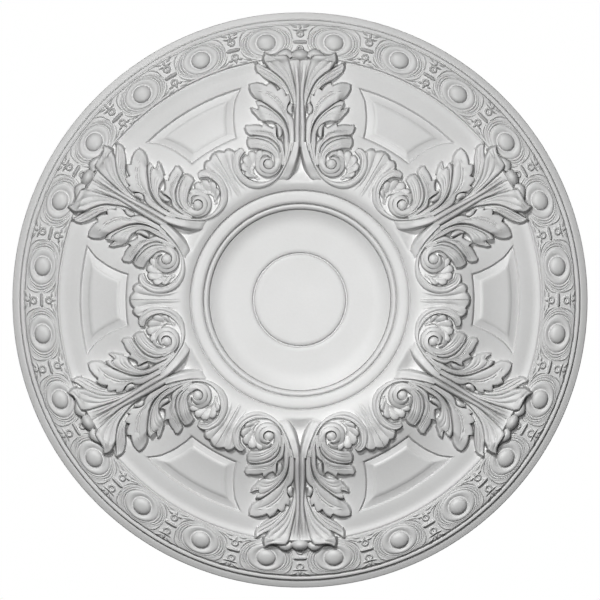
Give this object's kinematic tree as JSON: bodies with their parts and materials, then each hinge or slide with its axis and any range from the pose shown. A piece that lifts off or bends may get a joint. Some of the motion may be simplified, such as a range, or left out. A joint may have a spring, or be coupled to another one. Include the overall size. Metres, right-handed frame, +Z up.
{
  "type": "ceiling rose",
  "caption": "Round moulded ceiling rose with a stepped rim, an egg-and-dart band, leaf groups with scrolls, sunk panels and a dished centre for a light fitting.",
  "frame": {"origin": "centre of the flat back, which lies against the ceiling", "axes": "+Z up into the ceiling, so the carved face hangs down towards -Z; one leaf group lies on +Y and the others follow every 60 degrees"},
  "size_m": [1.2, 1.2, 0.094],
  "materials": {
    "primed_white": "matte white primer, ready to paint"
  },
  "bodies": {
    "root": {"ceiling_rose": "primed_white"}
  },
  "joints": []
}
